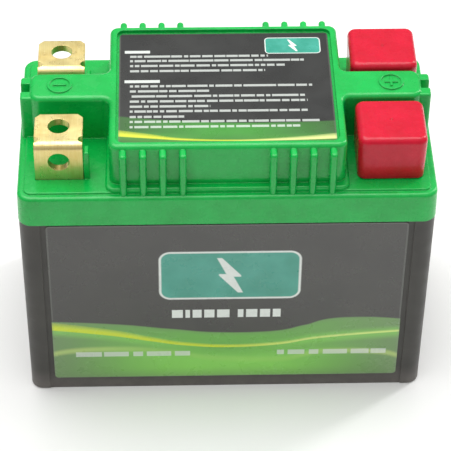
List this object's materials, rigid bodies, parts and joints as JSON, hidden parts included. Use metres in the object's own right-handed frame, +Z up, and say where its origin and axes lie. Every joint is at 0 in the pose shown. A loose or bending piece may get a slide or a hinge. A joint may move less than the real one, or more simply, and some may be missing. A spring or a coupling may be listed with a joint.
{
  "type": "motorcycle battery",
  "caption": "Slim motorcycle battery with a raised-centre moulded lid, paired bent-strip terminals at both ends and pull-off caps over the positive pair.",
  "frame": {"origin": "middle of the base face", "axes": "+X along the long side towards the positive terminals, +Y from the front to the rear, +Z up"},
  "size_m": [0.107, 0.056, 0.0854],
  "materials": {
    "case_plastic": "fine satin texture",
    "lid_plastic": "satin moulded",
    "sealant": "cured sealant",
    "label_film": "printed glossy film",
    "terminal_brass": "plated, lightly brushed",
    "cap_rubber": "soft satin",
    "cell_wrap": "shrink sleeve",
    "holder_plastic": "moulded",
    "nickel": "plain strip",
    "insulating_paper": "pressed sheet",
    "board_laminate": "solder mask",
    "screw_steel": "zinc plated",
    "component_plastic": "moulded",
    "bus_brass": "plain strip",
    "lead_black": "silicone sleeve",
    "lead_red": "silicone sleeve",
    "foam": "closed-cell foam"
  },
  "bodies": {
    "battery": {"case": "case_plastic", "lid": "lid_plastic", "lid_seal": "sealant", "top_label": "label_film", "front_label": "label_film", "rear_label": "label_film", "terminal_negative_front": "terminal_brass", "terminal_negative_rear": "terminal_brass", "terminal_positive_front": "terminal_brass", "terminal_positive_rear": "terminal_brass", "cell_1": "cell_wrap", "cell_2": "cell_wrap", "cell_3": "cell_wrap", "cell_4": "cell_wrap", "cell_holder_left": "holder_plastic", "cell_holder_right": "holder_plastic", "series_strip_1": "nickel", "series_strip_2": "nickel", "series_strip_3": "nickel", "end_tab_positive": "nickel", "end_tab_negative": "nickel", "insulating_sheet_left": "insulating_paper", "insulating_sheet_right": "insulating_paper", "balance_board": "board_laminate", "board_screws": "screw_steel", "power_transistors": "component_plastic", "control_chip": "component_plastic", "balance_resistors": "component_plastic", "negative_bus": "bus_brass", "positive_bus": "bus_brass", "negative_lead": "lead_black", "positive_lead": "lead_red", "foam_pad_bottom": "foam", "foam_pad_front": "foam", "foam_pad_rear": "foam"},
    "cap_front": {"terminal_cap_front": "cap_rubber"},
    "cap_rear": {"terminal_cap_rear": "cap_rubber"}
  },
  "joints": [
    {"name": "cap_front_slide", "type": "slide", "parent": "battery", "child": "cap_front", "axis": [0, 0, 1], "range_m": [0, 0.03]},
    {"name": "cap_rear_slide", "type": "slide", "parent": "battery", "child": "cap_rear", "axis": [0, 0, 1], "range_m": [0, 0.03]}
  ]
}
